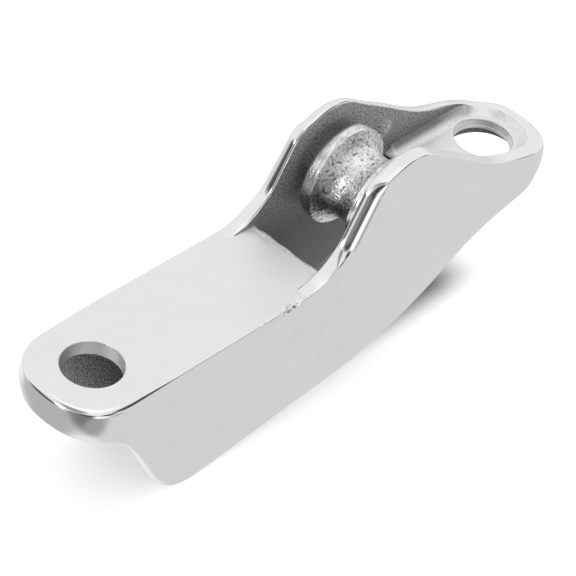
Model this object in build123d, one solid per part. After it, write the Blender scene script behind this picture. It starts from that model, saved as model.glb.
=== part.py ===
from build123d import *
from math import radians, tan
import os

# Halyard lead: a hollow polished casting with two bolt holes, which carries one
# rope sheave between two raised cheeks. Millimetres.
# Frame: origin midway between the bolt holes on the underside of the plate,
# +X from the plain end towards the sheave, +Z up out of the plate. Heights are
# drawn from the top of the plate, and main() raises the model by its thickness.

# Plan of the casting
hole_spacing = 102.0
hole_diameter = 11.0
plate_width = 22.0
wall = 2.9
plate_thickness = 3.1

# Sheave, and what carries it
pin_to_tip_hole = 36.2
pin_height = 5.1
pin_diameter = 6.0
running_clearance = 0.05
bush_wall = 1.0
sheave_diameter = 19.3
sheave_side_gap = 1.9
flange_band = 2.6
groove_depth = 2.9
flange_edge_radius = 0.5
washer_diameter = 10.0
washer_side_clearance = 0.06
washer_bore_clearance = 0.05

# Rope slot round the sheave, and the floor behind it
slot_front_gap = 8.15
slot_back_gap = 7.35
slot_lip_radius = 1.9
slot_back_radius = 0.5
floor_drop = 0.8

# Side view, upper outline: flat plate, steep front of the cheek, crest, long tail.
# Corners before rounding, measured from the pin, the tip's bolt hole or the plate.
# The tail's slope is in degrees.
front_before_pin = 10.2
front_above_pin = 11.7
crest_before_pin = 0.3
crest_above_sheave = 5.85
tail_before_hole = 9.6
tail_height = 4.35
tail_slope = 13.0
foot_radius = 12.0
front_radius = 5.4
crest_radius = 11.2
tail_radius = 50.0

# Side view, lower outline: shallow lip, steep shoulder, keel, rising tail
lip_depth = 5.6
shoulder_past_hole = 2.0
shoulder_depth = 8.25
keel_past_hole = 11.1
keel_depth = 30.0
belly_behind_pin = 3.6
belly_depth = 23.8
rise_before_hole = 13.2
rise_depth = 10.9
tip_depth = 3.9
shoulder_radius = 6.0
keel_radius = 12.0
belly_radius = 65.0
rise_radius = 42.0

# Softened edges of the casting
rim_radius = 1.25
plate_edge_radius = 0.6
hole_edge_radius = 0.3

# Sizes that follow from those above
half_spacing = hole_spacing / 2
end_radius = plate_width / 2
inner_half = end_radius - wall
tip_x = half_spacing + end_radius
pin_radius = pin_diameter / 2
bush_bore_radius = pin_radius + running_clearance
bush_outer_radius = bush_bore_radius + bush_wall
sheave_x = half_spacing - pin_to_tip_hole
sheave_radius = sheave_diameter / 2
sheave_width = 2 * (inner_half - sheave_side_gap)
groove_half = sheave_width / 2 - flange_band
slot_front_x = sheave_x - sheave_radius - slot_front_gap
slot_back_x = sheave_x + sheave_radius + slot_back_gap
crest_height = pin_height + sheave_radius + crest_above_sheave
rim_start_x = slot_front_x - foot_radius
overshoot = 5.0
close_enough = 0.05
faces_up = 0.2
reach = tip_x + overshoot
above = crest_height + overshoot
below = -keel_depth - overshoot


def stadium(radius, low_z, high_z):
    """A straight-sided bar with round ends about the two bolt holes."""
    plan = SlotCenterToCenter(hole_spacing, 2 * radius)
    return extrude(Plane.XY.offset(low_z) * plan, amount=high_z - low_z)


def outline(points, radii):
    """Straight runs through the points in the XZ plane, with rounded corners."""
    return Plane.XZ * FilletPolyline(*points, radius=radii)


def upper_outline():
    """Upper edge of the side view, from the plain end to the tip."""
    tail_x = half_spacing - tail_before_hole
    tail_fall = (reach - tail_x) * tan(radians(tail_slope))
    points = [
        (-reach, 0),
        (slot_front_x, 0),
        (sheave_x - front_before_pin, pin_height + front_above_pin),
        (sheave_x - crest_before_pin, crest_height),
        (tail_x, tail_height),
        (reach, tail_height - tail_fall),
    ]
    return outline(points, [foot_radius, front_radius, crest_radius, tail_radius])


def lower_outline():
    """Lower edge of the side view, from the plain end to the tip."""
    points = [
        (-reach, -lip_depth),
        (-half_spacing - shoulder_past_hole, -shoulder_depth),
        (-half_spacing + keel_past_hole, -keel_depth),
        (sheave_x + belly_behind_pin, -belly_depth),
        (half_spacing - rise_before_hole, -rise_depth),
        (reach, -tip_depth),
    ]
    return outline(points, [shoulder_radius, keel_radius, belly_radius, rise_radius])


def between(top, bottom):
    """The area between two outlines, made solid across the casting."""
    ends = [Line(top @ 0, bottom @ 0), Line(top @ 1, bottom @ 1)]
    area = make_face([*top.edges(), *bottom.edges(), *ends])
    return extrude(area, amount=end_radius, both=True)


def box_between(x0, x1, half_width, z0, z1):
    """A box across the casting, by its ends and heights."""
    centre = Pos((x0 + x1) / 2, 0, (z0 + z1) / 2)
    return centre * Box(x1 - x0, 2 * half_width, z1 - z0)


def level(z):
    """A level line over the whole length of the casting."""
    return Plane.XZ * Line((-reach, z), (reach, z))


def wall_ring(low_z, high_z):
    """The band of the plan that the walls and cheeks stand on."""
    return stadium(end_radius, low_z, high_z) - stadium(inner_half, low_z, high_z)


def shell_block():
    """Plate and skirt walls as one block, before it is hollowed out."""
    block = between(level(0), lower_outline()) & stadium(end_radius, below, above)
    plate_top = block.faces().sort_by(Axis.Z)[-1]
    block = fillet(plate_top.edges(), plate_edge_radius)
    tail_zone = box_between(slot_back_x, reach, end_radius, below, above)
    block -= tail_zone & stadium(end_radius, -floor_drop, above)
    return block - (tail_zone & wall_ring(-plate_thickness, above))


def cheek_rim():
    """The wall's upper part: both cheeks, joined round the bolt hole at the tip."""
    rim = wall_ring(below, above) & between(upper_outline(), level(-plate_thickness))
    rim -= box_between(-reach, rim_start_x, end_radius, below, above)
    tops = rim.faces().filter_by(lambda f: f.normal_at(f.center()).Z > faces_up)
    sides = ShapeList(e for f in tops for e in f.edges()).filter_by(runs_along)
    return fillet(sides, rim_radius)


def runs_along(edge):
    """True for an edge that follows the plan's outline, not one across a wall."""
    first = edge.position_at(0)
    last = edge.position_at(1)
    same_x = abs(last.X - first.X) < close_enough
    same_z = abs(last.Z - first.Z) < close_enough
    goes_round_an_end = edge.geom_type != GeomType.LINE
    return goes_round_an_end or not (same_x and same_z)


def casting():
    """The hollow body: plate, skirt walls, cheeks and the two bolt holes."""
    body = shell_block() + cheek_rim()
    body -= stadium(inner_half, below, -plate_thickness)
    body -= box_between(slot_front_x, slot_back_x, inner_half, below, above)
    for hole_x in (-half_spacing, half_spacing):
        body -= Pos(hole_x, 0, 0) * Cylinder(hole_diameter / 2, above)
    body -= Pos(sheave_x, 0, pin_height) * across(pin_radius, plate_width + overshoot)
    return soften(body)


def across(radius, length):
    """A round bar along the sheave's axis, centred on it."""
    return Rot(90, 0, 0) * Cylinder(radius, length)


def edges_at(body, x, z):
    """Edges that run straight across the slot at one place in the side view."""
    def there(edge):
        middle = edge.center()
        span = abs(edge.position_at(1).Y - edge.position_at(0).Y)
        at_x = abs(middle.X - x) < close_enough
        at_z = abs(middle.Z - z) < close_enough
        return at_x and at_z and span > inner_half
    return body.edges().filter_by(there)


def soften(body):
    """Worn lip of the rope slot, and small breaks at the slot's back and holes."""
    body = fillet(edges_at(body, slot_front_x, 0), slot_lip_radius)
    body = fillet(edges_at(body, slot_back_x, -floor_drop), slot_back_radius)
    rims = body.edges().filter_by(GeomType.CIRCLE)
    rims = rims.filter_by(lambda e: abs(e.radius - hole_diameter / 2) < close_enough)
    rims = rims.filter_by(lambda e: e.center().Z > -plate_thickness / 2)
    return fillet(rims, hole_edge_radius)


def sheave():
    """Grooved wheel: two plain flange bands with a round rope groove between."""
    groove_radius = (groove_half**2 + groove_depth**2) / (2 * groove_depth)
    wheel = across(sheave_radius, sheave_width)
    ends = wheel.edges().filter_by(GeomType.CIRCLE)
    wheel = fillet(ends, flange_edge_radius)
    ring_centre = sheave_radius - groove_depth + groove_radius
    wheel -= Rot(90, 0, 0) * Torus(ring_centre, groove_radius)
    wheel -= across(bush_outer_radius, sheave_width + overshoot)
    return Pos(sheave_x, 0, pin_height) * wheel


def sheave_bush():
    """Plain bush pressed into the sheave, which turns on the pin."""
    tube = across(bush_outer_radius, sheave_width)
    tube -= across(bush_bore_radius, sheave_width + overshoot)
    return Pos(sheave_x, 0, pin_height) * tube


def axle_pin():
    """Pin pressed through both cheeks and dressed flush with their outsides."""
    return Pos(sheave_x, 0, pin_height) * across(pin_radius, plate_width)


def thrust_washer(side):
    """Spacer washer between the sheave and one cheek."""
    thickness = sheave_side_gap - washer_side_clearance
    ring = across(washer_diameter / 2, thickness)
    ring -= across(pin_radius + washer_bore_clearance, thickness + overshoot)
    middle = inner_half - thickness / 2
    return Pos(sheave_x, side * middle, pin_height) * ring


def main():
    parts = {
        "casting": casting(),
        "sheave": sheave(),
        "sheave_bush": sheave_bush(),
        "axle_pin": axle_pin(),
        "near_thrust_washer": thrust_washer(-1),
        "far_thrust_washer": thrust_washer(1),
    }
    os.makedirs("parts", exist_ok=True)
    for node, shape in parts.items():
        export_step(Pos(0, 0, plate_thickness) * shape, f"parts/{node}.step")


main()
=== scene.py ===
import math

import bmesh
import bpy
import numpy as np
from mathutils import Matrix, Vector, noise


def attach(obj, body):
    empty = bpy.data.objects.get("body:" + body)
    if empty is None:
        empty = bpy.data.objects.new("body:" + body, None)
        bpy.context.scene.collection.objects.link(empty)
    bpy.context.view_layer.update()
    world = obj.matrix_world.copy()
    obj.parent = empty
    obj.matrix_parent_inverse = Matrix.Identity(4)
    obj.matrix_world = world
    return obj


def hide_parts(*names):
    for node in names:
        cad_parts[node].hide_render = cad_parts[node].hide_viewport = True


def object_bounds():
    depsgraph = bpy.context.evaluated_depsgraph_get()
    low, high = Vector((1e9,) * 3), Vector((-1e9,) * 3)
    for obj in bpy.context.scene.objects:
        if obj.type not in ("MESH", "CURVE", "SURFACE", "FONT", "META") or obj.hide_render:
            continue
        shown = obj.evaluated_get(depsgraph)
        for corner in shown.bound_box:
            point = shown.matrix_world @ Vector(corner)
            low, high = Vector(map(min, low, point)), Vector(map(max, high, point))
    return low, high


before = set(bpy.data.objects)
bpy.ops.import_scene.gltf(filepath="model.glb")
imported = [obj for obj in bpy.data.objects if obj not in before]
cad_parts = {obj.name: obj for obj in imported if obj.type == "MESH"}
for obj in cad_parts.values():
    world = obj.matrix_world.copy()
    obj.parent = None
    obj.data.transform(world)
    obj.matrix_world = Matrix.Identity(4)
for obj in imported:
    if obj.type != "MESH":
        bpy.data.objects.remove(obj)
cad_low, cad_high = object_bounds()

# Halyard lead: a hollow polished casting that carries one rope sheave between two cheeks.
# Sizes are in millimetres and in the frame's axes, unless a comment says otherwise.
MM = 0.001

# Camera of the photograph: place, directions, and focal length in pixels
camera_place = (-288.14, -205.98, 299.18)
camera_forward = (0.61355, 0.44039, -0.65545)
camera_up = (0.40676, 0.53518, 0.74035)
focal_pixels = 2618.2
image_pixels = 576
sensor_width = 36.0

# Plan and thickness of the casting
half_spacing = 51.0
end_radius = 11.0
wall = 2.9
plate_top = 3.1
pad_top = 2.3
hole_radius = 5.5

# Rope slot, and the worn stretch of the plate in front of it
slot_front_x = -3.0
slot_back_x = 31.8
slot_lip_radius = 0.7
slot_back_radius = 0.5
worn_start_x = -24.0

# Sheave and its pin
sheave_x = 14.8
sheave_z = 8.2
sheave_radius = 9.65
sheave_half = 6.2
pin_radius = 3.0
bush_outer = 4.05

# Side view, upper outline: corners before rounding. The tail's slope is in degrees.
front_before_pin = 10.2
front_above_pin = 11.7
crest_before_pin = 0.3
crest_above_pin = 15.5
tail_before_hole = 9.6
tail_z = 7.45
tail_slope = 13.0
upper_radii = (12.0, 5.4, 11.2, 50.0)

# Side view, lower outline
lip_z = -2.5
shoulder_past_hole = 2.0
shoulder_z = -5.15
keel_past_hole = 11.1
keel_z = -26.9
belly_behind_pin = 3.6
belly_z = -20.7
rise_before_hole = 13.2
rise_z = -7.8
low_tip_z = -0.8
lower_radii = (6.0, 12.0, 65.0, 42.0)

# Rounding of the plate's edge
side_edge_radius = 0.2
end_edge_radius = 1.1

# Rounding of the rim's edges. On the far side, the drop of the outer edge and how much
# lower the whole rim lies change along X: (x, size).
rim_inner_radius = 0.45
rim_outer_depth = 2.4
near_outer_drop = 2.3
far_outer_drops = [(-1.0, 0.9), (3.0, 1.7), (8.0, 3.0), (22.0, 3.0), (30.0, 1.6), (46.0, 1.4), (52.0, 1.8)]
far_side_lower = [(1.0, 0.0), (8.0, 0.35), (22.0, 0.35), (30.0, 0.0), (49.0, 0.0), (53.0, 0.35)]
far_side_lower += [(55.5, 0.6), (58.0, 1.05), (59.8, 0.8), (61.4, 0.0)]
tail_outer_radius = 0.4
tip_inner_radius = 0.03
tip_step = 0.03

# Rounding of the lower edges
end_low_radius = 0.3
end_low_inset = 0.55
shoulder_outer_radius = 1.6
keel_outer_radius = 0.35
keel_inner_radius = 0.5

# Fillet between the pad and the wall: along the sides, and round the tip
side_fillet_width = 2.8
tip_fillet_width = 1.7
side_fillet_hollow = 2.2
tip_fillet_hollow = 1.05
fillet_height = 1.6
fillet_start_length = 1.5

# How much fuller than a half circle each round end is, in plan and in height
plain_end_fullness = 0.7
tip_fullness = 0.45
plain_end_belly = 0.35
tip_belly = 0.45

# Stretches of X over which a form comes in or dies out
rim_rises = (-3.6, -0.4)
near_rim_falls = (4.2, 7.0)
far_rim_falls = (54.0, 61.0)
tip_edge_sharpens = (44.0, 56.0)
fillet_narrows = (46.0, 55.0)
end_edge_rounds = (-40.0, -52.0)
end_low_narrows = (-51.0, -57.0)
shoulder_starts = (-53.0, -49.0)
shoulder_ends = (-43.0, -38.0)
keel_edge_starts = (-54.0, -50.0)
upright_past_hole = (-6.0, 0.0)
far_side_starts = (-0.6, 0.6)

# How finely the casting's surface is divided: columns round the plan, rows over the section
end_fine_x = -38.0
tail_fine_x = 36.0
side_spacings = (0.45, 0.8, 0.28, 0.2, 0.3, 0.12, 0.4, 0.5)
columns_per_turn = 70
riser_rows = 36
rounding_rows = 9
rim_flat_rows = 2
close_edge_rows = 6
close_edge_gap = 0.3
outer_face_parts = 11
low_outer_rows = 8
low_flat_rows = 2
low_inner_rows = 5
skirt_rows = 12
edge_face_rows = 4
plate_lines = 56
pad_middle_lines = 38
fillet_lines = 9
merge_distance = 0.004
smallest_edge = 0.002

# Sizes that follow from those above
inner_half = end_radius - wall
lip_start_x = slot_front_x - slot_lip_radius
back_end_x = slot_back_x + slot_back_radius
reach = half_spacing + end_radius + 5.0


def upper_corners():
    """Corners of the upper outline, from the plain end to the tip."""
    tail_x = half_spacing - tail_before_hole
    tail_fall = (reach - tail_x) * math.tan(math.radians(tail_slope))
    return [
        (-reach, plate_top),
        (slot_front_x, plate_top),
        (sheave_x - front_before_pin, sheave_z + front_above_pin),
        (sheave_x - crest_before_pin, sheave_z + crest_above_pin),
        (tail_x, tail_z),
        (reach, tail_z - tail_fall),
    ]


def lower_corners():
    """Corners of the lower outline, from the plain end to the tip."""
    return [
        (-reach, lip_z),
        (-half_spacing - shoulder_past_hole, shoulder_z),
        (-half_spacing + keel_past_hole, keel_z),
        (sheave_x + belly_behind_pin, belly_z),
        (half_spacing - rise_before_hole, rise_z),
        (reach, low_tip_z),
    ]


def rounded_path(corners, radii):
    """Straight runs with rounded corners, as rows of x, height and the upward normal's x."""
    arc_step = math.radians(2)
    ends = [Vector(corner) for corner in corners]
    places = []

    def add(place, heading):
        places.append((place.x, place.y, -math.sin(heading)))

    first = ends[1] - ends[0]
    add(ends[0], math.atan2(first.y, first.x))
    for before, corner, after, radius in zip(ends, ends[1:], ends[2:], radii):
        run_in = (corner - before).normalized()
        run_out = (after - corner).normalized()
        heading = math.atan2(run_in.y, run_in.x)
        turn = math.atan2(run_out.y, run_out.x) - heading
        start = corner - run_in * radius * math.tan(abs(turn) / 2)
        side = math.copysign(1, turn)
        centre = start + Vector((-run_in.y, run_in.x)) * side * radius
        steps = max(2, round(abs(turn) / arc_step))
        for step in range(steps + 1):
            now = heading + turn * step / steps
            spoke = Vector((math.sin(now), -math.cos(now)))
            add(centre + spoke * side * radius, now)
    last = ends[-1] - ends[-2]
    add(ends[-1], math.atan2(last.y, last.x))
    return np.array(places).T


upper_path = rounded_path(upper_corners(), upper_radii)
lower_path = rounded_path(lower_corners(), lower_radii)


def path_height(path, x):
    """Height of a side-view edge at x."""
    return np.interp(x, path[0], path[1])


def smooth_step(value, low, high):
    """0 up to low, 1 from high, and a smooth rise between."""
    share = np.clip((value - low) / (high - low), 0, 1)
    return share * share * (3 - 2 * share)


def mixed(first, second, share):
    """The first value where share is 0, the second where it is 1."""
    return first + (second - first) * share


def spread(start, end, spacing):
    """Places from start to end, evenly spaced along the upper edge, without the last one."""
    path_x = np.linspace(start, end, 400)
    path_z = path_height(upper_path, path_x)
    walked = np.concatenate([[0], np.cumsum(np.hypot(np.diff(path_x), np.diff(path_z)))])
    count = max(1, round(walked[-1] / spacing))
    return np.interp(np.arange(count) / count * walked[-1], walked, path_x)


def side_places():
    """Where the sections of a straight side stand, from one bolt hole to the other."""
    marks = [-half_spacing, end_fine_x, worn_start_x, lip_start_x, slot_front_x]
    marks += [slot_back_x, back_end_x, tail_fine_x, half_spacing]
    places = [spread(*stretch) for stretch in zip(marks, marks[1:], side_spacings)]
    return np.append(np.concatenate(places), half_spacing)


class Plan:
    """The sections of the wall, all round the plan: base point, outward direction, edges."""

    def __init__(self):
        side = side_places()
        turns = np.linspace(-math.pi / 2, math.pi / 2, columns_per_turn + 2)[1:-1]
        none = np.zeros_like(side)
        tip = np.full_like(turns, half_spacing)
        self.side = side
        self.base = np.concatenate([side, tip, side[::-1], -tip])
        self.out_x = np.concatenate([none, np.cos(turns), none, -np.cos(turns)])
        self.out_y = np.concatenate([none - 1, np.sin(turns), none + 1, -np.sin(turns)])
        self.number_sections()
        self.set_upper_edges()
        self.set_lower_edges()

    def number_sections(self):
        """Which sections stand on the near side, round the tip, on the far side and at the plain end."""
        tip_start = len(self.side)
        far_start = tip_start + columns_per_turn
        plain_start = far_start + len(self.side)
        numbers = np.arange(len(self.base))
        self.near, self.tip, backwards, self.plain = np.split(numbers, [tip_start, far_start, plain_start])
        self.far = backwards[::-1]

    def set_upper_edges(self):
        """Roundings of the plate's edge and the rim, and the far rim's lower place."""
        x = self.base + end_radius * self.out_x
        past_hole = np.abs(self.base) - half_spacing
        self.lean = 1 - smooth_step(past_hole, *upright_past_hole)
        far_side = smooth_step(self.out_y, *far_side_starts)
        self.settle = np.interp(x, *zip(*far_side_lower)) * far_side
        near_falls = smooth_step(x, *near_rim_falls)
        far_falls = smooth_step(x, *far_rim_falls)
        falls = near_falls * (1 - far_side) + far_falls * far_side
        drop = mixed(near_outer_drop, np.interp(x, *zip(*far_outer_drops)), far_side)
        plate_edge = mixed(side_edge_radius, end_edge_radius, smooth_step(x, *end_edge_rounds))
        rising = smooth_step(x, *rim_rises)
        self.outer_depth = mixed(plate_edge, mixed(rim_outer_depth, tail_outer_radius, falls), rising)
        self.outer_drop = mixed(plate_edge, mixed(drop, tail_outer_radius, falls), rising)
        self.inner_radius = mixed(rim_inner_radius, tip_inner_radius, smooth_step(x, *tip_edge_sharpens))

    def set_lower_edges(self):
        """Roundings of the lower edge, the pad's fillet, and the fullness of both round ends."""
        x = self.base + end_radius * self.out_x
        self.inner_x = self.base + inner_half * self.out_x
        narrowing = smooth_step(self.inner_x, *fillet_narrows)
        self.fillet_width = mixed(side_fillet_width, tip_fillet_width, narrowing)
        self.fillet_hollow = mixed(side_fillet_hollow, tip_fillet_hollow, narrowing)
        squareness = (2 * self.out_x * self.out_y) ** 2
        self.full = squareness * np.where(self.out_x > 0, tip_fullness, plain_end_fullness)
        self.belly = squareness * np.where(self.out_x > 0, tip_belly, plain_end_belly)
        self.low_inset = end_low_inset * smooth_step(x, *end_low_narrows)
        on_shoulder = smooth_step(x, *shoulder_starts) * (1 - smooth_step(x, *shoulder_ends))
        low_radius = mixed(end_low_radius, keel_outer_radius, smooth_step(x, *keel_edge_starts))
        self.low_radius = mixed(low_radius, shoulder_outer_radius, on_shoulder)

    def place(self, upper, depth, drop):
        """Points at a depth in from the outer face, and a drop in from the upper or lower edge."""
        path = upper_path if upper else lower_path
        sign = 1 if upper else -1
        out = end_radius - depth + self.full * (1 - depth / wall)
        x = self.base + out * self.out_x
        y = out * self.out_y
        z = path_height(path, x)
        if upper:
            z = z - self.settle
        lean_x = np.interp(x, path[0], path[2]) * self.lean
        lean_z = np.sqrt(1 - lean_x**2)
        return np.stack([x - sign * drop * lean_x, y, z - sign * drop * lean_z], axis=1)

    def nearest(self, x):
        """Number, along one side, of the section nearest to x."""
        return int(np.argmin(np.abs(self.side - x)))

    def round_plain_end(self, last):
        """Sections from the far side round the plain end to the near side."""
        return np.concatenate([self.far[:last + 1][::-1], self.plain, self.near[:last + 1]])

    def round_tip(self, first):
        """Sections from the near side round the tip to the far side."""
        return np.concatenate([self.near[first:], self.tip, self.far[first:][::-1]])


def rounded_top(top, radius, past):
    """Height of a flat top whose edge is rounded, at a distance past the start of the rounding."""
    past = np.clip(past, 0, radius)
    return top - radius + np.sqrt(radius**2 - past**2)


def floor_height(plan):
    """Height of the plate's or the pad's top where it meets the inside of the wall."""
    x = plan.inner_x
    lip = rounded_top(plate_top, slot_lip_radius, x - lip_start_x)
    back = rounded_top(pad_top, slot_back_radius, back_end_x - x)
    share = np.clip((x - slot_front_x) / (slot_back_x - slot_front_x), 0, 1)
    in_slot = (plate_top - slot_lip_radius) * (1 - share) + (pad_top - slot_back_radius) * share
    level = np.where(x <= slot_front_x, lip, np.where(x >= slot_back_x, back, in_slot))
    level = level + fillet_height * smooth_step(x, back_end_x, back_end_x + fillet_start_length)
    rim = path_height(upper_path, x) - plan.settle - tip_step
    return np.where(x < slot_back_x, level, np.minimum(level, rim))


def between_rows(first, last, count):
    """Rows of points evenly between two rows, without the two themselves."""
    shares = (np.arange(count) + 1) / (count + 1)
    return [first * (1 - share) + last * share for share in shares]


def corner_rows(plan, upper, inside, width, height, count):
    """Rows over a rounded corner of the wall, from its face to its edge."""
    rows = []
    for angle in np.linspace(0, math.pi / 2, count):
        depth = width * (1 - math.cos(angle))
        if inside:
            depth = wall - depth
        elif not upper:
            depth = depth + plan.low_inset
        rows.append(plan.place(upper, depth, height * (1 - math.sin(angle))))
    return rows


def outer_face_rows(plan, top, low):
    """The outer face: close rows by the top edge, and a little full in height at both ends."""
    height = np.linalg.norm(low - top, axis=1)
    outward = np.stack([plan.out_x, plan.out_y, np.zeros_like(height)], axis=1)
    shares = [close_edge_gap * step / height for step in range(1, close_edge_rows + 1)]
    last = shares[-1]
    shares += [last + (1 - last) * step / outer_face_parts for step in range(1, outer_face_parts)]
    rows = []
    for share in shares:
        swell = plan.belly * (1 - (2 * share - 1) ** 2)
        rows.append(top + (low - top) * share[:, None] + outward * swell[:, None])
    return rows


def lift_to_floor(rows, plan):
    """Raises what lies below the plate's or the pad's top to it, outside the rope slot."""
    x = plan.inner_x
    in_slot = (x > slot_front_x) & (x < slot_back_x)
    floor_z = np.where(in_slot, -reach, rows[0, :, 2])
    for row in rows[1:1 + riser_rows + rounding_rows + rim_flat_rows]:
        sunk = row[:, 2] < floor_z
        out = np.hypot(row[:, 0] - plan.base, row[:, 1])
        row[sunk, 0] = (plan.base + out * plan.out_x)[sunk]
        row[sunk, 2] = floor_z[sunk]


def wall_rows(plan):
    """Rows of points over the wall's section: inside, rim, outside, lower edge, inside."""
    inner = plan.inner_radius
    lower = plan.low_radius
    inner_top = corner_rows(plan, True, True, inner, inner, rounding_rows)
    outer_top = corner_rows(plan, True, False, plan.outer_depth, plan.outer_drop, rounding_rows)
    outer_low = corner_rows(plan, False, False, lower, lower, low_outer_rows)
    inner_low = corner_rows(plan, False, True, keel_inner_radius, keel_inner_radius, low_inner_rows)
    x = plan.inner_x
    y = inner_half * plan.out_y
    seat = np.stack([x, y, floor_height(plan)], axis=1)
    under = np.stack([x, y, np.zeros_like(x)], axis=1)
    rows = [seat]
    rows += between_rows(seat, inner_top[0], riser_rows)
    rows += inner_top
    rows += between_rows(inner_top[-1], outer_top[-1], rim_flat_rows)
    rows += outer_top[::-1]
    rows += outer_face_rows(plan, outer_top[0], outer_low[0])
    rows += outer_low
    rows += between_rows(outer_low[-1], inner_low[-1], low_flat_rows)
    rows += inner_low[::-1]
    rows += between_rows(inner_low[0], under, skirt_rows)
    rows += [under]
    rows = np.array(rows)
    lift_to_floor(rows, plan)
    return rows


def outward_mesh(work, name):
    """Ends the work on a mesh, with all its faces turned outwards."""
    bmesh.ops.recalc_face_normals(work, faces=work.faces)
    mesh = bpy.data.meshes.new(name)
    work.to_mesh(mesh)
    work.free()
    return mesh


class Shell:
    """Points and faces gathered from the patches of a closed shell."""

    def __init__(self):
        self.points = []
        self.faces = []

    def add_points(self, points):
        start = len(self.points)
        self.points.extend(map(tuple, points))
        return np.arange(start, len(self.points))

    def add_sheet(self, lines, closed=False):
        """Quads over rows of points; a closed sheet also joins each row's last point to its first."""
        numbers = self.add_points(lines.reshape(-1, 3)).reshape(lines.shape[:2])
        if closed:
            numbers = np.concatenate([numbers, numbers[:, :1]], axis=1)
        corners = (numbers[:-1, :-1], numbers[:-1, 1:], numbers[1:, 1:], numbers[1:, :-1])
        self.faces.extend(zip(*[corner.ravel() for corner in corners]))

    def add_face(self, *runs):
        """One flat face round runs of points."""
        self.faces.append(tuple(self.add_points(np.concatenate(runs))))

    def to_mesh(self, name):
        """The shell as a mesh in metres, joined where its patches meet."""
        loose = bpy.data.meshes.new("patches")
        points = [tuple(number * MM for number in point) for point in self.points]
        loose.from_pydata(points, [], [tuple(int(number) for number in face) for face in self.faces])
        work = bmesh.new()
        work.from_mesh(loose)
        bpy.data.meshes.remove(loose)
        bmesh.ops.remove_doubles(work, verts=work.verts, dist=merge_distance * MM)
        bmesh.ops.dissolve_degenerate(work, edges=work.edges, dist=smallest_edge * MM)
        return outward_mesh(work, name)


def strip(first, last):
    """Rows of points from one row to another, over a narrow face."""
    return np.array([first, *between_rows(first, last, edge_face_rows), last])


def lines_across(rows, plan, first, last, shares):
    """Lines over the plate or the pad from the near to the far wall, one for each section."""
    near = rows[0, plan.near[first:last + 1]]
    far = rows[0, plan.far[first:last + 1]]
    return near[:, None] * (1 - shares[:, None]) + far[:, None] * shares[:, None]


def pad_line_shares(plan, section):
    """How the lines across the pad's edge are divided, to meet the fillets on both sides."""
    fillet = np.linspace(0, 1, fillet_lines) * plan.fillet_width[section] / (2 * inner_half)
    middle = np.linspace(fillet[-1], 1 - fillet[-1], pad_middle_lines)[1:-1]
    return np.concatenate([fillet, middle, 1 - fillet[::-1]])


def pad_fillet(rows, plan, section):
    """The hollow fillet from the wall down to the pad, round the tip."""
    numbers = plan.round_tip(section)
    top_z = rows[0, numbers, 2]
    lines = []
    for share in np.linspace(0, 1, fillet_lines):
        out = end_radius - (wall + plan.fillet_width[numbers] * share)
        x = plan.base[numbers] + out * plan.out_x[numbers]
        y = out * plan.out_y[numbers]
        z = pad_top + (top_z - pad_top) * (1 - share) ** plan.fillet_hollow[numbers]
        lines.append(np.stack([x, y, z], axis=1))
    return np.array(lines)


def casting_shell():
    """The whole casting without its round holes."""
    plan = Plan()
    rows = wall_rows(plan)
    shell = Shell()
    shell.add_sheet(rows, closed=True)
    worn_start = plan.nearest(worn_start_x)
    front = plan.nearest(slot_front_x)
    back = plan.nearest(slot_back_x)
    back_end = plan.nearest(back_end_x)
    for side in (plan.near, plan.far):
        slot_side = side[front:back + 1]
        shell.add_sheet(strip(rows[-1, slot_side], rows[0, slot_side]))
    lip = lines_across(rows, plan, worn_start, front, np.linspace(0, 1, plate_lines))
    pad_edge = lines_across(rows, plan, back, back_end, pad_line_shares(plan, back_end))
    front_low = lip[-1] * (1, 1, 0)
    back_low = pad_edge[0] * (1, 1, 0)
    fillet = pad_fillet(rows, plan, back_end)
    shell.add_sheet(lip)
    shell.add_sheet(pad_edge)
    shell.add_sheet(strip(lip[-1], front_low))
    shell.add_sheet(strip(pad_edge[0], back_low))
    shell.add_sheet(fillet)
    shell.add_face(rows[0, plan.round_plain_end(worn_start)], lip[0, 1:-1])
    shell.add_face(fillet[-1], pad_edge[-1, fillet_lines:-fillet_lines][::-1])
    shell.add_face(rows[-1, plan.round_plain_end(front)], front_low[1:-1])
    shell.add_face(rows[-1, plan.round_tip(back)], back_low[1:-1][::-1])
    return shell.to_mesh("casting_body")


# Holes: the round edge at the top, the flare at the underside, and the ledge in the tip's hole
hole_break_radius = 0.3
break_turn = 80
break_rings = 8
mouth_flare = 0.6
mouth_flare_rise = 0.1
under_flare = 0.5
under_flare_z = (-0.15, 0.2)
plate_bore_rings = (0.9, 1.8)
tip_ledge_z = 0.75
tip_ledge_rise = 0.1
tip_ledge_width = 0.13
tip_bore_ring = 1.4
cutter_overshoot = 3.0
lathe_steps = 160


def lathe(profile, centre, along_y=False):
    """A closed turned body from (radius, distance) pairs that start and end on the axis."""
    work = bmesh.new()
    angles = [2 * math.pi * step / lathe_steps for step in range(lathe_steps)]
    rings = []
    for radius, distance in profile:
        if radius == 0:
            rings.append([work.verts.new((0, 0, distance))])
            continue
        ring = [(radius * math.cos(angle), radius * math.sin(angle), distance) for angle in angles]
        rings.append([work.verts.new(place) for place in ring])
    for low, high in zip(rings, rings[1:]):
        for step in range(lathe_steps):
            following = (step + 1) % lathe_steps
            corners = [low[step % len(low)], low[following % len(low)]]
            corners += [high[following % len(high)], high[step % len(high)]]
            work.faces.new(list(dict.fromkeys(corners)))
    mesh = outward_mesh(work, "cutter")
    if along_y:
        mesh.transform(Matrix.Rotation(math.radians(90), 4, "X"))
    mesh.transform(Matrix.Translation(centre))
    mesh.transform(Matrix.Scale(MM, 4))
    return mesh


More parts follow.
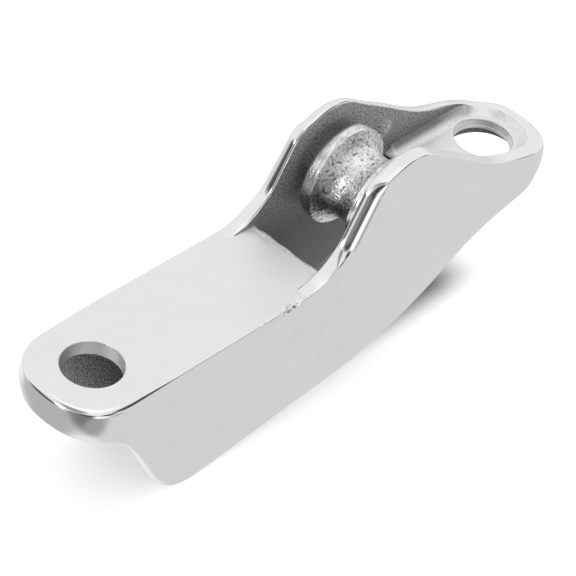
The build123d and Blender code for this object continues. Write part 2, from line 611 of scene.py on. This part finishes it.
def hole_foot():
    """The bottom of a bolt hole's cutter, flared at the plate's underside."""
    wide = hole_radius + under_flare
    low_z, high_z = under_flare_z
    return [(0, -cutter_overshoot), (wide, -cutter_overshoot), (wide, low_z), (hole_radius, high_z)]


def hole_mouth(radius, surface_z):
    """The top of a bolt hole's cutter, flared by a rounded edge at the surface."""
    profile = []
    for angle in np.linspace(0, math.radians(break_turn), break_rings):
        out = hole_break_radius * (1 - math.cos(angle))
        profile.append((radius + out, surface_z - hole_break_radius * (1 - math.sin(angle))))
    wide = profile[-1][0] + mouth_flare
    above = surface_z + cutter_overshoot
    return profile + [(wide, surface_z + mouth_flare_rise), (wide, above), (0, above)]


def plate_hole_cutter():
    """The bolt hole at the plain end."""
    bore = [(hole_radius, height) for height in plate_bore_rings]
    return lathe(hole_foot() + bore + hole_mouth(hole_radius, plate_top), (-half_spacing, 0, 0))


def tip_hole_cutter():
    """The bolt hole at the tip, counterbored a little from above."""
    upper = hole_radius + tip_ledge_width
    ledge = [(hole_radius, tip_ledge_z), (upper, tip_ledge_z + tip_ledge_rise), (upper, tip_bore_ring)]
    return lathe(hole_foot() + ledge + hole_mouth(upper, pad_top), (half_spacing, 0, 0))


def pin_hole_cutter():
    """The bore through both cheeks."""
    end = end_radius + cutter_overshoot
    profile = [(0, -end), (pin_radius, -end), (pin_radius, end), (0, end)]
    return lathe(profile, (sheave_x, 0, sheave_z), along_y=True)


def new_object(name, data):
    """An object of the scene that shows a mesh or is a camera."""
    thing = bpy.data.objects.new(name, data)
    bpy.context.scene.collection.objects.link(thing)
    return thing


def cut_away(mesh, cutters):
    """The mesh with each cutter taken out of it."""
    body = new_object("body_being_cut", mesh)
    tools = [new_object("cutter", cutter) for cutter in cutters]
    for tool in tools:
        change = body.modifiers.new("cut", "BOOLEAN")
        change.operation = "DIFFERENCE"
        change.solver = "EXACT"
        change.object = tool
    ready = body.evaluated_get(bpy.context.evaluated_depsgraph_get())
    result = bpy.data.meshes.new_from_object(ready)
    for thing in [body, *tools]:
        bpy.data.objects.remove(thing)
    return result


# Finishes of the casting, as places in its list of materials
polished = 0
as_cast = 1
bored = 2
satin = 3
pad_cast = 4

# How the finishes are told apart: by distances, and by how far a face's normal points one way
wall_slack = 0.02
edge_slack = 0.1
bore_slack = 0.25
plate_top_slack = (-0.05, 0.03)
above_underside = 0.5
facing_up = 0.35
level_face = 0.999
bore_face = 0.6
pin_bore_face = 0.5


def sort_faces(mesh):
    """Gives each face of the casting its finish."""
    count = len(mesh.polygons)
    centres = np.empty(count * 3)
    normals = np.empty(count * 3)
    mesh.polygons.foreach_get("center", centres)
    mesh.polygons.foreach_get("normal", normals)
    x, y, z = centres.reshape(-1, 3).T / MM
    _, normal_y, normal_z = normals.reshape(-1, 3).T
    depth = end_radius - np.hypot(x - np.clip(x, -half_spacing, half_spacing), y)
    inside = depth > wall - wall_slack
    on_pad = x > slot_back_x - edge_slack
    off_slot = on_pad | (x < slot_front_x + edge_slack)
    on_top = inside & off_slot & (normal_z > facing_up) & (z > above_underside)
    finish = np.full(count, polished)
    finish[inside] = as_cast
    finish[on_top] = satin
    finish[on_top & on_pad] = pad_cast
    lowest, highest = plate_top_slack
    at_plate_top = (z > plate_top + lowest) & (z < plate_top + highest)
    finish[(normal_z > level_face) & at_plate_top] = satin
    for hole_x in (-half_spacing, half_spacing):
        near_hole = np.hypot(x - hole_x, y) < hole_radius + bore_slack
        in_plate = (z > -edge_slack) & (z < plate_top + edge_slack)
        finish[near_hole & in_plate & (np.abs(normal_z) < bore_face)] = bored
    near_pin = np.hypot(x - sheave_x, z - sheave_z) < pin_radius + wall_slack
    finish[near_pin & (np.abs(normal_y) < pin_bore_face)] = bored
    mesh.polygons.foreach_set("material_index", finish.astype(np.int32))


def smooth_faces(piece, sharp_angle):
    """Smooth shading that keeps the sharp edges and flat faces."""
    mesh = piece.data
    mesh.polygons.foreach_set("use_smooth", [True] * len(mesh.polygons))
    mesh.set_sharp_from_angle(angle=math.radians(sharp_angle))
    weighted = piece.modifiers.new("flat_faces_stay_flat", "WEIGHTED_NORMAL")
    weighted.keep_sharp = True
    weighted.weight = 80


def read_points(mesh):
    """The mesh's points in millimetres."""
    points = np.empty(len(mesh.vertices) * 3, np.float32)
    mesh.vertices.foreach_get("co", points)
    return points.reshape(-1, 3) / MM


def write_points(mesh, points):
    """Moves the mesh's points to places in millimetres."""
    mesh.vertices.foreach_set("co", (points * MM).astype(np.float32).ravel())
    mesh.update()


def noise_at(points, scale, offset):
    """Smooth noise from -1 to 1 at each point; scale is per millimetre, along x, y and z."""
    places = points * np.array(scale) + np.array(offset)
    return np.array([noise.noise(Vector(place)) for place in places])


# Wear of the slot's lip: torn down over a stretch, and ragged at its edge
lip_tear_start_x = -6.5
lip_tear_depth = 0.10
lip_flake_depth = 0.10
lip_ragged = 0.35
lip_ragged_width = 0.9
lip_height = 1.2

# Wear of the pad's edge behind the slot
back_wear_depth = 0.12
back_ragged = 0.25
back_wear_width = 0.3
back_wear_fade = 0.2

# As-cast walls inside: swell, grain, clear space round the sheave, and the lump on the far cheek
cast_swell = 0.06
cast_grain = 0.03
cast_end_x = 44.0
cast_low_z = pad_top + 0.5
sheave_clear = (6.0, 9.0)
lump_place = (29.7, 9.3)
lump_size = 1.7
lump_height = 0.7

# Gouges in the near top edge: start x, end x, depth
edge_nicks = [(-17.0, -11.4, 0.75), (-22.6, -19.4, 0.3)]
nick_reach = (0.15, 1.1)
nick_fall = 0.8


def wear_slot_edges(points):
    """Torn lip in front of the slot, and flaked edge behind it, where lines have run."""
    x, y, z = points.T
    between_walls = np.abs(y) < inner_half + 0.05
    lip_top = smooth_step(z, plate_top - lip_height, plate_top - 0.2)
    top = lip_top * between_walls * (x < slot_front_x + 0.05)
    near_lip = smooth_step(x, lip_tear_start_x, slot_front_x - 0.4) * top
    ragged = smooth_step(x, slot_front_x - 0.1 - lip_ragged_width, slot_front_x - 0.1) * top
    tears = noise_at(points, (1.1, 0.35, 1.1), (4.2, 1.9, 0.3))
    flakes = noise_at(points, (2.6, 0.9, 2.6), (0.7, 8.4, 5.1))
    depth = lip_tear_depth * np.clip(0.4 + 1.6 * tears, 0, 1) + lip_flake_depth * np.clip(flakes, 0, 1)
    z -= near_lip * depth
    x -= ragged * lip_ragged * np.clip(0.5 + tears + 0.6 * flakes, 0, 1.4)
    back = smooth_step(x, slot_back_x - back_wear_width, slot_back_x)
    back = back * (1 - smooth_step(x, back_end_x, back_end_x + back_wear_fade))
    back = back * between_walls * (z > pad_top - 1)
    z -= back * back_wear_depth * np.clip(0.3 + tears + flakes, 0, 1)
    x += back * back_ragged * np.clip(flakes, -1, 1)


def roughen_walls(points):
    """Uneven as-cast walls beside the slot, with the cast lump on the far cheek."""
    x, y, z = points.T
    on_wall = np.abs(np.abs(y) - inner_half) < wall_slack
    in_slot = on_wall & (z > cast_low_z) & (x > slot_front_x) & (x < cast_end_x)
    share = in_slot * smooth_step(np.hypot(x - sheave_x, z - sheave_z), *sheave_clear)
    swell = noise_at(points, (0.5, 0.5, 0.5), (2.7, 3.3, 8.8)) * cast_swell
    swell += noise_at(points, (2.0, 2.0, 2.0), (6.1, 0.9, 4.4)) * cast_grain
    off_lump = (x - lump_place[0]) ** 2 + (z - lump_place[1]) ** 2
    lump = np.exp(-off_lump / lump_size**2) * (y > 0)
    y -= np.sign(y) * share * (swell + lump_height * lump)


def nick_near_edge(points):
    """Gouges in the near top edge of the plate."""
    x, y, z = points.T
    for start, end, nick_depth in edge_nicks:
        middle = (start + end) / 2
        half = (end - start) / 2
        along = np.clip(1 - ((x - middle) / half) ** 2, 0, 1)
        close = 1 - smooth_step(np.hypot(y + end_radius, z - plate_top), *nick_reach)
        rough = 0.55 + 0.9 * noise_at(points, (1.6, 0.8, 2.4), (9.1, 2.2, 6.6))
        push = nick_depth * along * close * np.clip(rough, 0, 1.3)
        y += push
        z -= nick_fall * push


def add_casting():
    """The hollow casting, with its bores and its wear."""
    mesh = cut_away(casting_shell(), [plate_hole_cutter(), tip_hole_cutter(), pin_hole_cutter()])
    mesh.name = "casting_body"
    piece = new_object("casting_body", mesh)
    for material in (polished_metal(), cast_metal_and_painted_light(), bored_metal(), satin_metal(), pad_metal_and_painted_shade()):
        mesh.materials.append(material)
    sort_faces(mesh)
    points = read_points(mesh)
    wear_slot_edges(points)
    roughen_walls(points)
    nick_near_edge(points)
    write_points(mesh, points)
    smooth_faces(piece, 35)
    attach(piece, "fitting")
    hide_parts("casting")


# Rope groove and flanges of the sheave. Distances along its axis are from its middle.
groove_far_y = 3.6
groove_near_y = -4.9
groove_depth = 2.9
groove_rings = 45
flange_edge_width = 0.6
flange_edge_drop = 0.3
flange_edge_rings = 9
notch_width = 0.28
notch_depth = 0.16
sheave_steps = 240
groove_slack = 0.02
pit_margin = 0.1
pit_grain = 0.05
pit_hollow = 0.06
pit_highest = 0.02
hub_radius = 5.0


def flange_edge_points(side):
    """Rounded outer edge of one flange, from its flat face to its band."""
    points = []
    for angle in np.linspace(0, math.pi / 2, flange_edge_rings):
        along = side * (sheave_half - flange_edge_width * (1 - math.cos(angle)))
        points.append((along, sheave_radius - flange_edge_drop * (1 - math.sin(angle))))
    return points


def groove_points():
    """The round rope groove, from its near to its far edge."""
    middle = (groove_far_y + groove_near_y) / 2
    half = (groove_far_y - groove_near_y) / 2
    ring_radius = (half**2 + groove_depth**2) / (2 * groove_depth)
    ring_centre = sheave_radius - groove_depth + ring_radius
    swing = math.asin(half / ring_radius)
    points = []
    for angle in np.linspace(-swing, swing, groove_rings):
        points.append((middle + ring_radius * math.sin(angle), ring_centre - ring_radius * math.cos(angle)))
    return points


def sheave_profile():
    """Closed section of the sheave: (distance along the axis, radius)."""
    face_radii = np.linspace(bush_outer, sheave_radius - flange_edge_drop, 10)[:-1]
    near = [(-sheave_half, radius) for radius in face_radii] + flange_edge_points(-1)
    far = [(sheave_half, radius) for radius in face_radii] + flange_edge_points(1)
    near_band = np.linspace(near[-1][0], groove_near_y, 4)[1:-1]
    far_band = np.linspace(groove_far_y + notch_width, far[-1][0], 6)[:-1]
    profile = near + [(along, sheave_radius) for along in near_band] + groove_points()
    profile.append((groove_far_y + notch_width / 2, sheave_radius - notch_depth))
    profile += [(along, sheave_radius) for along in far_band]
    return profile + far[::-1]


def sheave_mesh(profile):
    """A ring-shaped body turned from a closed section, about the sheave's axis at the origin."""
    work = bmesh.new()
    angles = [2 * math.pi * step / sheave_steps for step in range(sheave_steps)]
    rings = []
    for along, radius in profile:
        ring = [Vector((radius * math.cos(angle), along, radius * math.sin(angle))) for angle in angles]
        rings.append([work.verts.new(place * MM) for place in ring])
    for low, high in zip(rings, rings[1:] + rings[:1]):
        for step in range(sheave_steps):
            following = (step + 1) % sheave_steps
            work.faces.new((low[step], low[following], high[following], high[step]))
    return outward_mesh(work, "rope_sheave")


def pit_groove(points):
    """Small casting pits in the rope groove."""
    x, y, z = points.T
    radius = np.hypot(x, z)
    inside = (y > groove_near_y + pit_margin) & (y < groove_far_y - pit_margin) & (radius > hub_radius)
    grain = noise_at(points, (2.2, 2.2, 2.2), (3.1, 0.4, 7.7))
    hollows = noise_at(points, (0.8, 0.8, 0.8), (1.7, 5.2, 2.9))
    depth = pit_grain * np.clip(grain, -1, 1) - pit_hollow * np.clip(hollows, 0, 1)
    depth = np.minimum(depth, pit_highest) * inside
    grown = 1 + depth / radius
    x *= grown
    z *= grown


def add_sheave():
    """The grooved wheel."""
    mesh = sheave_mesh(sheave_profile())
    in_groove = []
    for face in mesh.polygons:
        middle = face.center / MM
        between_edges = groove_near_y + groove_slack < middle.y < groove_far_y - groove_slack
        in_groove.append(int(between_edges and math.hypot(middle.x, middle.z) > hub_radius))
    points = read_points(mesh)
    pit_groove(points)
    write_points(mesh, points + np.array([sheave_x, 0, sheave_z]))
    piece = new_object("rope_sheave", mesh)
    mesh.materials.append(flange_metal())
    mesh.materials.append(groove_metal())
    mesh.polygons.foreach_set("material_index", in_groove)
    smooth_faces(piece, 30)
    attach(piece, "wheel")
    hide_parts("sheave")


def put_in(tree, node, sockets):
    """Puts numbers, colours or other nodes' outputs into a node's sockets."""
    for socket, value in dict(sockets).items():
        if isinstance(value, bpy.types.NodeSocket):
            tree.links.new(value, node.inputs[socket])
        else:
            node.inputs[socket].default_value = value


def add_node(tree, kind, sockets=(), **settings):
    """A shader node with its settings and with what goes into its sockets."""
    node = tree.nodes.new("ShaderNode" + kind)
    for name, value in settings.items():
        setattr(node, name, value)
    put_in(tree, node, sockets)
    return node


def new_material(name, metallic=1):
    """A material with its node tree, its shader and a reader of the object's own coordinates."""
    material = bpy.data.materials.new(name)
    material.use_nodes = True
    tree = material.node_tree
    shader = tree.nodes["Principled BSDF"]
    put_in(tree, shader, {"Metallic": metallic})
    return material, tree, shader, add_node(tree, "TexCoord").outputs["Object"]


def math_node(tree, operation, *values):
    """A math node over numbers or outputs."""
    return add_node(tree, "Math", enumerate(values), operation=operation).outputs[0]


def axis_of(tree, place, axis):
    """One axis of a place."""
    return add_node(tree, "SeparateXYZ", {0: place}).outputs[axis]


def remap(tree, value, span, onto=(0, 1), kind="LINEAR"):
    """Maps one range of a value onto another, held at both ends."""
    sockets = enumerate((value, *span, *onto))
    return add_node(tree, "MapRange", sockets, interpolation_type=kind).outputs["Result"]


def ease(tree, value, span, onto=(0, 1)):
    """Maps one range of a value onto another, smoothly at both ends."""
    return remap(tree, value, span, onto, "SMOOTHSTEP")


def in_metres(span):
    """Millimetres to metres."""
    return tuple(number * MM for number in span)


def noise_node(tree, place, per_mm, detail, stretch=(1, 1, 1)):
    """Procedural noise, sized by its features per millimetre."""
    scale = tuple(per_mm / MM * along for along in stretch)
    scaled = add_node(tree, "Mapping", {"Vector": place, "Scale": scale}).outputs["Vector"]
    sockets = {"Vector": scaled, "Scale": 1, "Detail": detail, "Roughness": 0.6}
    return add_node(tree, "TexNoise", sockets).outputs["Fac"]


def colour_ramp(tree, value, stops):
    """A ramp of greys or colours over a value."""
    node = add_node(tree, "ValToRGB", {"Fac": value})
    ramp = node.color_ramp
    while len(ramp.elements) < len(stops):
        ramp.elements.new(0.5)
    for element, (position, colour) in zip(ramp.elements, stops):
        element.position = position
        element.color = (*colour, 1)
    return node.outputs["Color"]


def mix_colours(tree, share, first, second):
    """The first colour where share is 0, the second where it is 1."""
    return add_node(tree, "Mix", {0: share, 6: first, 7: second}, data_type="RGBA").outputs[2]


def mix_numbers(tree, share, first, second):
    """The first number where share is 0, the second where it is 1."""
    return add_node(tree, "Mix", {0: share, 2: first, 3: second}).outputs[0]


def set_surface(tree, shader, colour, mottle, roughness, relief, span=(0.3, 0.7)):
    """Gives the shader a colour, a roughness that follows a noise, and a relief."""
    height, depth, strength = relief
    sockets = {"Height": height, "Distance": depth * MM, "Strength": strength}
    normal = add_node(tree, "Bump", sockets).outputs["Normal"]
    rough = remap(tree, mottle, span, roughness)
    put_in(tree, shader, {"Base Color": colour, "Roughness": rough, "Normal": normal})


def greys(*stops):
    """Stops of a ramp, from (position, grey) pairs; the greys are a touch towards blue."""
    return [(position, (value, value, value * 1.005)) for position, value in stops]


def hand_polish(tree, place):
    """The faint waviness that hand polishing leaves: height, depth in millimetres and strength."""
    return noise_node(tree, place, 0.12, 1), 0.25, 0.12


def polished_metal():
    """Mirror-polished stainless with a faint haze and waviness."""
    material, tree, shader, place = new_material("polished_stainless")
    haze = noise_node(tree, place, 0.15, 3)
    colour = colour_ramp(tree, haze, greys((0.3, 0.80), (0.7, 0.84)))
    set_surface(tree, shader, colour, haze, (0.05, 0.10), hand_polish(tree, place))
    return material


def satin_metal():
    """Buffed flat tops, softer than the polished sides, with fine scores along the slot's lip."""
    material, tree, shader, place = new_material("buffed_stainless", 0.4)
    haze = noise_node(tree, place, 0.15, 3)
    plain = colour_ramp(tree, haze, greys((0.3, 0.89), (0.7, 0.93)))
    scores = noise_node(tree, place, 1.0, 4, stretch=(3.2, 0.7, 1))
    scored = colour_ramp(tree, scores, greys((0.34, 0.22), (0.42, 0.82), (0.6, 0.95)))
    at_lip = ease(tree, axis_of(tree, place, "X"), in_metres((-5.2, -3.4)))
    colour = mix_colours(tree, at_lip, plain, scored)
    set_surface(tree, shader, colour, haze, (0.40, 0.46), hand_polish(tree, place))
    return material


def pad_metal_and_painted_shade():
    """The pad round the tip's hole: pale and grained, with painted shade that greys it up its fillet to the
    cheeks.
    """
    material, tree, shader, place = new_material("dressed_pad_and_painted_shade", 0.8)
    # Painted shade: a darker copy of the grain, up the fillet in the corner by the cheeks
    painted_shade_up_fillet = ease(tree, axis_of(tree, place, "Z"), in_metres((2.32, 3.4)))
    by_cheeks = ease(tree, axis_of(tree, place, "X"), in_metres((44, 55)), (1, 0))
    grain = noise_node(tree, place, 3.5, 4)
    pale = colour_ramp(tree, grain, greys((0.35, 0.70), (0.5, 0.84), (0.65, 0.92)))
    dull = colour_ramp(tree, grain, greys((0.35, 0.28), (0.5, 0.40), (0.65, 0.52)))
    colour = mix_colours(tree, math_node(tree, "MULTIPLY", painted_shade_up_fillet, by_cheeks), pale, dull)
    set_surface(tree, shader, colour, grain, (0.32, 0.45), (grain, 0.06, 0.5))
    return material


def cast_metal_and_painted_light():
    """Stainless as it left the mould: dull and speckled, with painted shade that darkens it down in the
    slot and a painted highlight on the far cheek's lump.
    """
    material, tree, shader, place = new_material("as_cast_stainless_and_painted_light")
    grain = noise_node(tree, place, 2.6, 5)
    light = colour_ramp(tree, grain, greys((0.36, 0.08), (0.46, 0.46), (0.62, 0.74)))
    # Painted shade: a darker copy of the grain, mixed in low down in the slot past the plain end
    dark = colour_ramp(tree, grain, greys((0.38, 0.12), (0.62, 0.24)))
    painted_shade_low_down = ease(tree, axis_of(tree, place, "Z"), in_metres((-5, 11)), (1, 0))
    past_plain_end = ease(tree, axis_of(tree, place, "X"), in_metres((-30, -10)))
    colour = mix_colours(tree, math_node(tree, "MULTIPLY", painted_shade_low_down, past_plain_end), light, dark)
    # Painted highlight: a paler copy of the grain on the cast lump of the far cheek
    lump = in_metres((lump_place[0], inner_half, lump_place[1]))
    off_lump = add_node(tree, "VectorMath", {0: place, 1: lump}, operation="DISTANCE")
    painted_highlight_share = ease(tree, off_lump.outputs["Value"], in_metres((0.8, 3.0)), (1, 0))
    painted_highlight_colour = colour_ramp(tree, grain, greys((0.40, 0.30), (0.5, 0.8), (0.6, 0.95)))
    colour = mix_colours(tree, painted_highlight_share, colour, painted_highlight_colour)
    set_surface(tree, shader, colour, grain, (0.42, 0.6), (grain, 0.2, 0.8))
    return material


def speckled(name, speckle, stops, roughness, relief, metallic=1, span=(0.3, 0.7)):
    """A metal whose colour, roughness and relief (depth, strength) all follow one noise."""
    material, tree, shader, place = new_material(name, metallic)
    value = noise_node(tree, place, *speckle)
    colour = colour_ramp(tree, value, stops)
    set_surface(tree, shader, colour, value, roughness, (value, *relief), span)
    return material


def bored_metal():
    """Bored wall with fine tool lines round it."""
    lines = (5.0, 2, (0.05, 0.05, 1))
    stops = greys((0.3, 0.84), (0.7, 0.94))
    return speckled("bored_stainless", lines, stops, (0.26, 0.4), (0.05, 0.5), metallic=0.7)


def flange_metal():
    """The sheave's turned flange bands, scuffed along the band."""
    scuffs = (0.5, 5, (1, 2.5, 1))
    stops = greys((0.38, 0.55), (0.5, 0.82), (0.65, 0.92))
    return speckled("turned_stainless", scuffs, stops, (0.34, 0.18), (0.15, 0.45), metallic=0.92)


def groove_metal():
    """The sheave's pitted, as-cast rope groove."""
    stops = greys((0.38, 0.18), (0.44, 0.72), (0.62, 0.94))
    return speckled("pitted_groove", (1.5, 6), stops, (0.38, 0.18), (0.25, 0.7), span=(0.4, 0.6))


def bush_metal():
    """Turned bronze of the sheave's bush."""
    stops = [(0.3, (0.50, 0.33, 0.15)), (0.7, (0.66, 0.48, 0.24))]
    return speckled("turned_bronze", (0.8, 3), stops, (0.25, 0.42), (0.04, 0.3))


def washer_metal():
    """Stamped and tumbled stainless of the thrust washers."""
    stops = greys((0.3, 0.52), (0.7, 0.66))
    return speckled("tumbled_stainless", (1.2, 4), stops, (0.3, 0.45), (0.06, 0.4))


def polished_pin():
    """The pin, dressed flush and polished with the cheeks."""
    material = polished_metal()
    material.name = "polished_pin"
    return material


def dress_nodes():
    """Finishes of the CAD nodes that show as they are."""
    washer = washer_metal()
    finishes = {
        "sheave_bush": bush_metal(),
        "axle_pin": polished_pin(),
        "near_thrust_washer": washer,
        "far_thrust_washer": washer,
    }
    for name, material in finishes.items():
        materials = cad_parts[name].data.materials
        materials.clear()
        materials.append(material)


def add_camera():
    """The photograph's view of the object."""
    data = bpy.data.cameras.new("camera")
    data.sensor_width = sensor_width
    data.lens = focal_pixels * sensor_width / image_pixels
    data.clip_start = 0.01
    data.clip_end = 20.0
    camera = new_object("camera", data)
    forward = Vector(camera_forward).normalized()
    right = forward.cross(Vector(camera_up)).normalized()
    up = right.cross(forward)
    turn = Matrix((right, up, -forward)).transposed().to_4x4()
    camera.matrix_world = Matrix.Translation(Vector(camera_place) * MM) @ turn
    bpy.context.scene.camera = camera


# Studio: brightness of the room that the metal mirrors, above and below a soft horizon, and
# of the light that falls on everything
room_level = 0.97
below_level = 0.76
horizon = (-0.25, 0.15)
open_light = 0.8

# Soft panels of the room: azimuth from +X towards +Y, elevation, inner and outer half-width
# in degrees, brightness. Each lies over the ones before it.
room_panels = [
    (140, -44, 12, 42, 0.52),
    (214, 4, 14, 36, 0.07),
    (264, 12, 6, 20, 0.08),
    (300, 26, 10, 28, 0.08),
    (332, 16, 5, 16, 0.10),
    (214, -28, 8, 42, 0.23),
    (196, 2, 6, 20, 0.28),
    (245, -48, 8, 26, 0.40),
    (0, -90, 8, 24, 0.98),
    (84, -24, 8, 26, 1.15),
    (150, 0, 6, 26, 0.10),
    (250, -13, 8, 19, 1.35),
    (284, -29, 2, 10, 0.30),
    (192, 50, 8, 24, 0.34),
    (0, 90, 18, 30, 1.2),
    (180, 62, 8, 24, 0.38),
    (171, 17, 3, 8, 13.0),
]

# Floor: its half-width, its paleness, and the light that keeps it white to the camera
floor_half = 1500.0
floor_pale = 0.9
floor_lift = 0.5

# Painted shadow on the floor under the tail: its grey; its middle, half-size and soft edge in x and y
tail_shadow_dark = 0.25
tail_shadow_middle = (22.0, 5.0)
tail_shadow_half = (16.0, 8.0)
tail_shadow_blur = (16.0, 7.0)

# Painted shade: a dark sheet beneath the object, standing in for the shade there, which only its mirror
# finish sees
shade_middle = (-10.0, 0.0)
shade_half = (24.0, 10.5)
shade_grey = 0.06
shade_below_floor = 0.5


def direction(azimuth, elevation):
    """Unit vector towards a place in the room, from degrees."""
    turn = math.radians(azimuth)
    rise = math.radians(elevation)
    return (math.cos(rise) * math.cos(turn), math.cos(rise) * math.sin(turn), math.sin(rise))


def panel_share(tree, look, azimuth, elevation, inner, outer):
    """1 where the room's direction is within inner degrees of a panel's middle, 0 past outer."""
    sockets = {0: look, 1: direction(azimuth, elevation)}
    towards = add_node(tree, "VectorMath", sockets, operation="DOT_PRODUCT")
    edges = (math.cos(math.radians(outer)), math.cos(math.radians(inner)))
    return ease(tree, towards.outputs["Value"], edges)


def add_room():
    """White surroundings: even light on the floor, and a studio for the metal to mirror."""
    world = bpy.data.worlds.new("studio")
    bpy.context.scene.world = world
    world.use_nodes = True
    tree = world.node_tree
    look = add_node(tree, "TexCoord").outputs["Generated"]
    room = ease(tree, axis_of(tree, look, "Z"), horizon, (below_level, room_level))
    for azimuth, elevation, inner, outer, brightness in room_panels:
        share = panel_share(tree, look, azimuth, elevation, inner, outer)
        room = mix_numbers(tree, share, room, brightness)
    path = add_node(tree, "LightPath")
    lit = mix_numbers(tree, path.outputs["Is Glossy Ray"], open_light, room)
    seen = mix_numbers(tree, path.outputs["Is Camera Ray"], lit, 1.0)
    put_in(tree, tree.nodes["Background"], {"Color": (1, 1, 1, 1), "Strength": seen})


def stage_sheet(name, middle, half, z, material_name):
    """A level rectangle of the stage with a matt material of its own, and its shader."""
    middle_x, middle_y = middle
    half_x, half_y = half
    signs = [(-1, -1), (1, -1), (1, 1), (-1, 1)]
    corners = [(middle_x + along * half_x, middle_y + across * half_y, z) for along, across in signs]
    mesh = bpy.data.meshes.new(name)
    mesh.from_pydata([in_metres(corner) for corner in corners], [], [(0, 1, 2, 3)])
    sheet = new_object(name, mesh)
    material, tree, shader, place = new_material(material_name, 0)
    mesh.materials.append(material)
    put_in(tree, shader, {"Roughness": 1, "Specular IOR Level": 0})
    return sheet, tree, shader, place


def tail_shadow_share(tree, place, axis):
    """1 in the middle of the tail's painted shadow along one axis, 0 past its soft edge."""
    number = "XY".index(axis)
    middle = tail_shadow_middle[number]
    half = tail_shadow_half[number]
    aside = math_node(tree, "SUBTRACT", axis_of(tree, place, axis), middle * MM)
    edge = in_metres((half, half + tail_shadow_blur[number]))
    return ease(tree, math_node(tree, "ABSOLUTE", aside), edge, (1, 0))


def add_floor():
    """A pale floor under the keel, white to the camera but for the object's shadow and a painted shadow
    under the tail.
    """
    half = (floor_half, floor_half)
    floor, tree, shader, place = stage_sheet("floor", (0, 0), half, cad_low.z / MM, "floor_white")
    floor.visible_glossy = False
    # Painted shadow: a darker floor colour and less glow to the camera under the tail
    along = tail_shadow_share(tree, place, "X")
    across = tail_shadow_share(tree, place, "Y")
    clear = math_node(tree, "SUBTRACT", 1.0, math_node(tree, "MULTIPLY", across, along))
    stops = [(0, (tail_shadow_dark,) * 3), (1, (floor_pale,) * 3)]
    colour = colour_ramp(tree, clear, stops)
    seen = add_node(tree, "LightPath").outputs["Is Camera Ray"]
    lift = math_node(tree, "MULTIPLY", math_node(tree, "MULTIPLY", seen, floor_lift), clear)
    glow = {"Emission Color": (1, 1, 1, 1), "Emission Strength": lift}
    put_in(tree, shader, {"Base Color": colour, **glow})


def add_underside_shade():
    """A dark sheet beneath the object, painted shade that its hollow and its lower edges mirror."""
    z = cad_low.z / MM - shade_below_floor
    shade, tree, shader, _ = stage_sheet("underside_shade", shade_middle, shade_half, z, "shade_black")
    shade.visible_camera = False
    shade.visible_diffuse = False
    shade.visible_shadow = False
    put_in(tree, shader, {"Base Color": (shade_grey, shade_grey, shade_grey, 1)})


add_camera()
add_room()
add_floor()
add_underside_shade()
add_casting()
add_sheave()
dress_nodes()
bpy.context.scene.view_settings.view_transform = "Standard"
